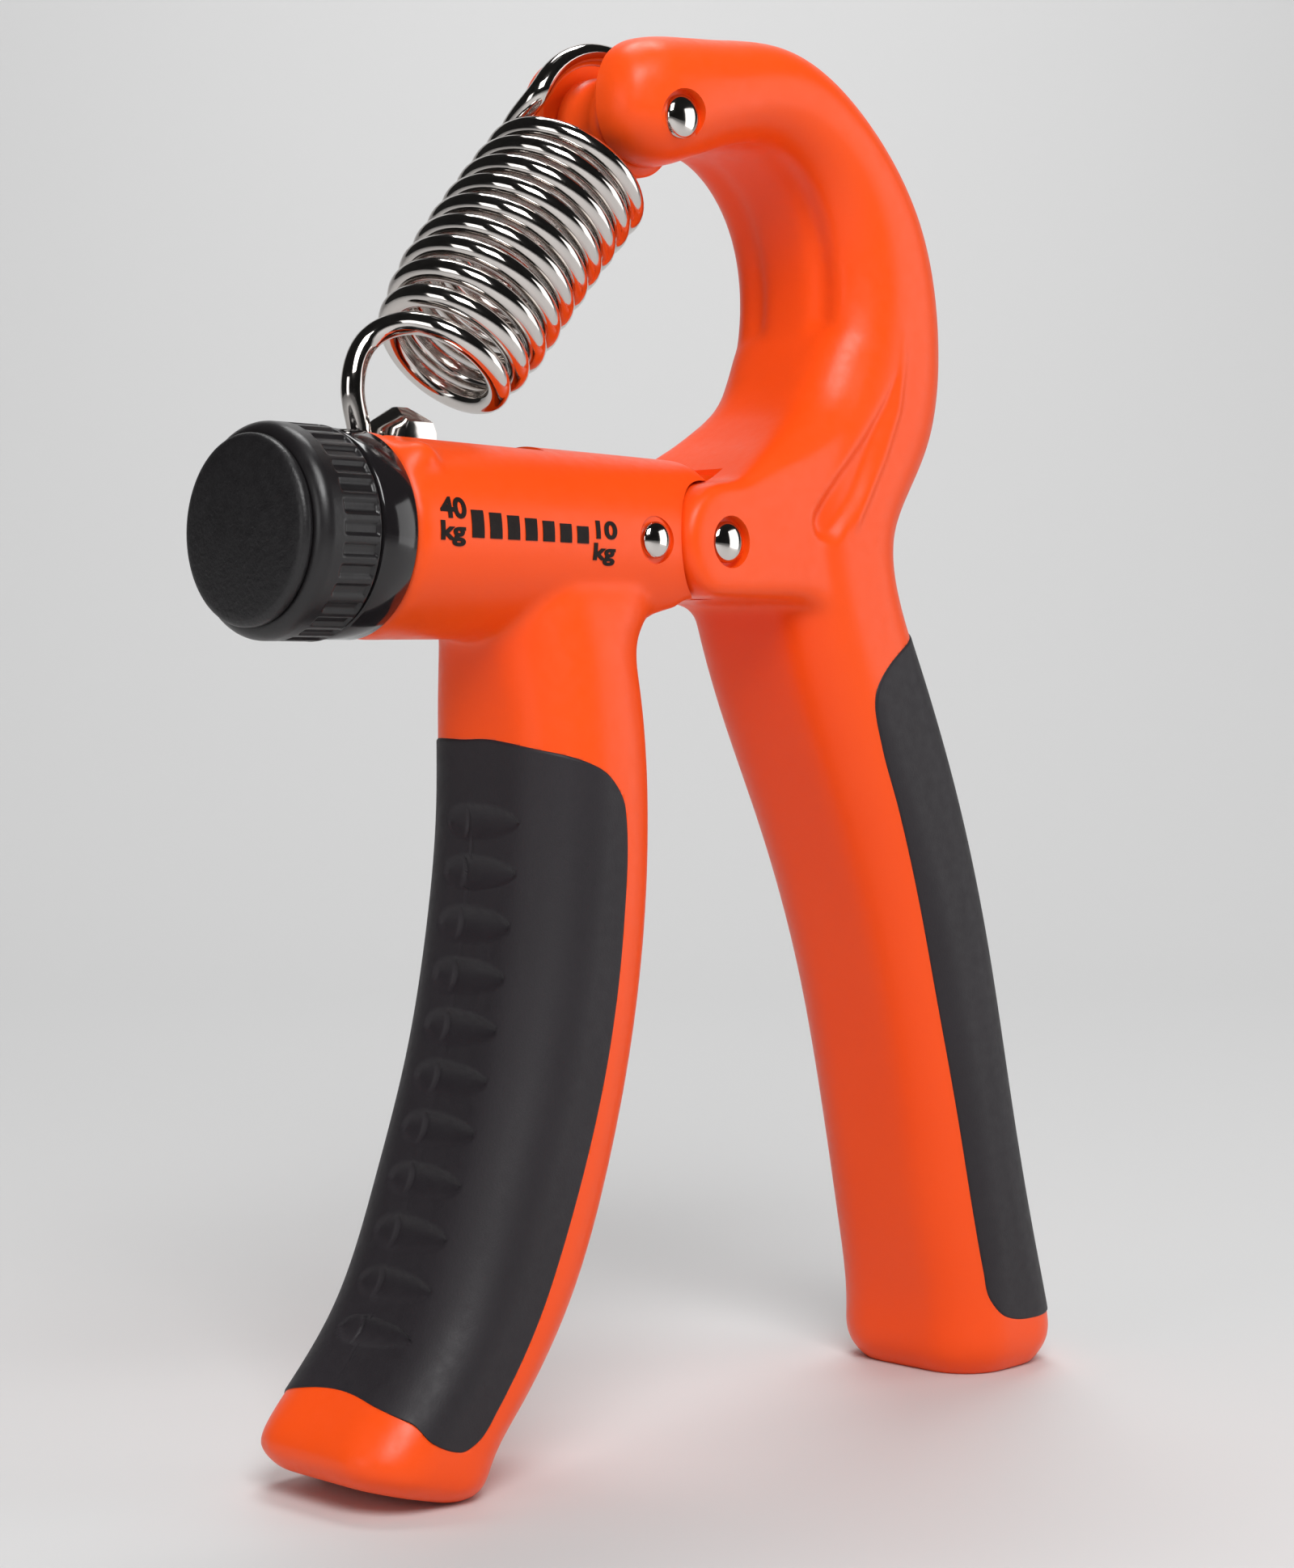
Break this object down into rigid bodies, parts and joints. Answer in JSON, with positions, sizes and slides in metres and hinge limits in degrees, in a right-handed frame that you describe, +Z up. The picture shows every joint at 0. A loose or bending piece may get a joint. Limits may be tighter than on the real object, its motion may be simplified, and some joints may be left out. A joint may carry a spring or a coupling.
{
  "type": "hand grip strengthener",
  "caption": "Adjustable hand grip strengthener: two hinged moulded handles held open by an extension spring, with a knob and screw that set the force.",
  "frame": {"origin": "on the ground, midway between the knob's face and the lever's outer side, in the middle plane", "axes": "+Z up from the feet to the arch, +X from the knob towards the lever, +Y to the back, across the handles"},
  "size_m": [0.1012, 0.0202, 0.132],
  "materials": {
    "orange_moulding": "smooth moulded orange plastic, soft gloss",
    "rubber_pad": "satin black rubber",
    "black_plastic": "black plastic, satin on the cap and glossy on the collar",
    "bearing_plastic": "plain black",
    "chrome_rivet": "bright domed heads",
    "chrome_spring": "bright nickel plated wire",
    "plated_nut": "bright zinc plate",
    "steel": "plain steel"
  },
  "bodies": {
    "barrel_handle": {"barrel_handle_body": "orange_moulding", "finger_pad": "rubber_pad", "barrel_collar": "black_plastic", "head_bearing": "bearing_plastic", "tail_bearing": "bearing_plastic", "barrel_pin": "chrome_rivet", "pivot_sleeve": "steel"},
    "lever": {"lever_body": "orange_moulding", "palm_pad": "rubber_pad", "pivot_pin": "chrome_rivet", "spring_pin": "chrome_rivet", "pivot_washers": "steel", "fork_washers": "steel"},
    "knob": {"knob_body": "black_plastic", "knob_cap": "black_plastic", "spindle": "steel", "knob_nut": "plated_nut", "thrust_washer": "steel", "retaining_clip": "steel"},
    "nut": {"travelling_nut": "plated_nut"},
    "bush": {"spring_bush": "steel"},
    "extension_spring": {"spring": "chrome_spring"}
  },
  "joints": [
    {"name": "lever_pivot", "type": "hinge", "parent": "barrel_handle", "child": "lever", "pos_m": [-0.00035, 0, 0.0838], "axis": [0, 1, 0], "range_deg": [0, 20], "stiffness_Nm_per_rad": 10, "springref_deg": -11.46, "deforming": ["spring"]},
    {"name": "knob_turn", "type": "hinge", "parent": "barrel_handle", "child": "knob", "pos_m": [-0.03835, 0, 0.0834], "axis": [1, 0, 0], "range_deg": [0, 4500]},
    {"name": "nut_slide", "type": "slide", "parent": "barrel_handle", "child": "nut", "axis": [1, 0, 0], "range_m": [0, 0.0125]},
    {"name": "bush_turn", "type": "hinge", "parent": "lever", "child": "bush", "pos_m": [-0.0064, 0, 0.1227], "axis": [0, -1, 0], "range_deg": [0, 13.6]},
    {"name": "spring_swing", "type": "hinge", "parent": "bush", "child": "extension_spring", "pos_m": [0.0423, 0, 0.0918], "axis": [0, -1, 0], "range_deg": [0, 9.05]}
  ],
  "couplings": [
    {"joint": "nut_slide", "follows": "knob_turn", "m_per_rad": 0.00015915},
    {"joint": "bush_turn", "follows": "knob_turn", "ratio": 0.002998},
    {"joint": "spring_swing", "follows": "lever_pivot", "ratio": 0.45}
  ]
}
